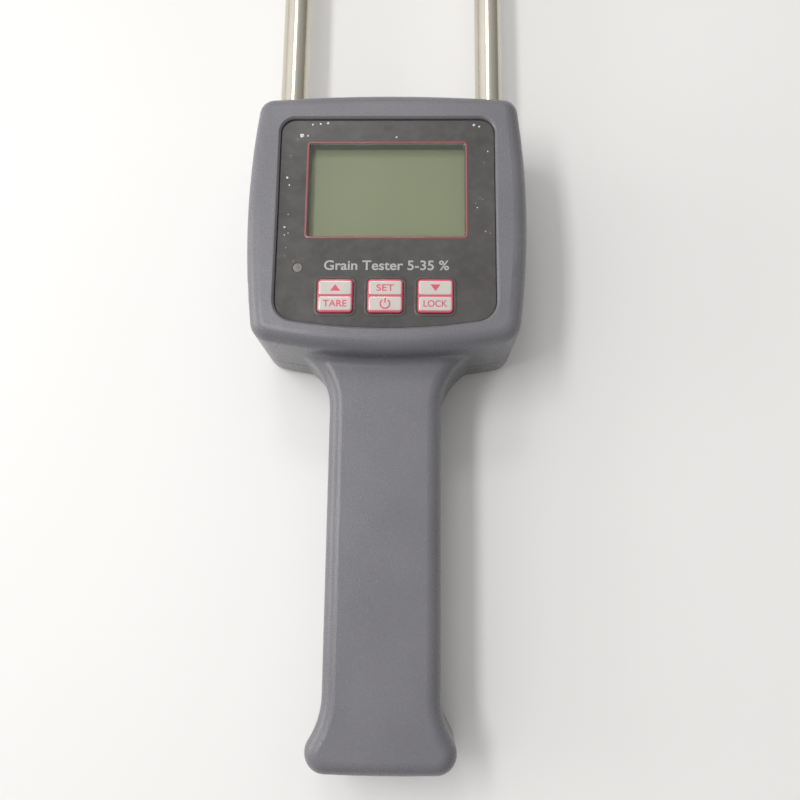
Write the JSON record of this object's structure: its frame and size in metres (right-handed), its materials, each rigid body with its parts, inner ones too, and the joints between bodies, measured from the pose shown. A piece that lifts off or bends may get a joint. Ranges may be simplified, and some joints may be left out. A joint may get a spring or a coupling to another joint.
{
  "type": "grain moisture meter",
  "caption": "Handheld grain moisture meter: a square display head with keys, a straight grip with a flared butt, and long pointed probe rods.",
  "frame": {"origin": "on the flat back, under the centre of the display head", "axes": "+X across the head to the right as the display is read, +Y along the probe rods to their tips, +Z out of the display"},
  "size_m": [0.0732, 0.46, 0.035],
  "materials": {
    "housing": "fine spark-eroded texture, satin",
    "facia_film": "glossy printed film",
    "clear_window": "clear polycarbonate",
    "indicator_plastic": "translucent grey",
    "led_plastic": "clear epoxy, red tint",
    "key_plastic": "glossy, embossed",
    "black_plastic": "moulded",
    "display_glass": "grey-green reflective display",
    "reflector": "silvered film",
    "zebra_rubber": "layered",
    "board_laminate": "solder mask",
    "screw_steel": "zinc plated",
    "chip_plastic": "moulded epoxy",
    "can_steel": "bright can",
    "can_aluminium": "bright can",
    "blue_plastic": "moulded",
    "natural_plastic": "moulded nylon",
    "probe_metal": "bright, slightly warm",
    "collar_plastic": "turned insulator",
    "cell_can": "printed sleeve over a metal can",
    "spring_steel": "nickel plated",
    "white_wire": "insulation",
    "red_wire": "insulation",
    "black_wire": "insulation"
  },
  "bodies": {
    "meter": {"front_shell": "housing", "rear_shell": "housing", "housing_screws": "screw_steel", "panel_overlay": "facia_film", "display_window": "clear_window", "indicator_lens": "indicator_plastic", "indicator_led": "led_plastic", "switch_cases": "black_plastic", "lcd_glass": "display_glass", "lcd_reflector": "reflector", "lcd_frame": "black_plastic", "zebra_strips": "zebra_rubber", "main_board": "board_laminate", "board_screws": "screw_steel", "microcontroller": "chip_plastic", "crystal": "can_steel", "capacitors": "can_aluminium", "resistors": "chip_plastic", "buzzer": "black_plastic", "trimmer": "blue_plastic", "battery_connector": "natural_plastic", "probe_connectors": "natural_plastic", "probe_clamp_base": "natural_plastic", "probe_clamp_cap": "natural_plastic", "clamp_screws": "screw_steel", "rod_clips": "screw_steel", "probe_rod_left": "probe_metal", "probe_rod_right": "probe_metal", "probe_collar_left": "collar_plastic", "probe_collar_right": "collar_plastic", "probe_tip_left": "probe_metal", "probe_tip_right": "probe_metal", "probe_lead_left": "white_wire", "probe_lead_right": "white_wire", "battery_tray": "black_plastic", "battery_cell_1": "cell_can", "battery_cell_2": "cell_can", "battery_cell_3": "cell_can", "battery_cell_4": "cell_can", "battery_springs": "spring_steel", "battery_contacts": "spring_steel", "battery_lead_red": "red_wire", "battery_lead_black": "black_wire"},
    "key_left": {"key_left": "key_plastic", "switch_plunger_left": "black_plastic"},
    "key_centre": {"key_centre": "key_plastic", "switch_plunger_centre": "black_plastic"},
    "key_right": {"key_right": "key_plastic", "switch_plunger_right": "black_plastic"},
    "battery_door": {"battery_door": "housing"}
  },
  "joints": [
    {"name": "key_left_press", "type": "slide", "parent": "meter", "child": "key_left", "axis": [0, 0, -1], "range_m": [0, 0.0004], "stiffness_N_per_m": 4000, "springref_m": -0.0001},
    {"name": "key_centre_press", "type": "slide", "parent": "meter", "child": "key_centre", "axis": [0, 0, -1], "range_m": [0, 0.0004], "stiffness_N_per_m": 4000, "springref_m": -0.0001},
    {"name": "key_right_press", "type": "slide", "parent": "meter", "child": "key_right", "axis": [0, 0, -1], "range_m": [0, 0.0004], "stiffness_N_per_m": 4000, "springref_m": -0.0001},
    {"name": "battery_door_slide", "type": "slide", "parent": "meter", "child": "battery_door", "axis": [0, -1, 0], "range_m": [0, 0.098]}
  ]
}
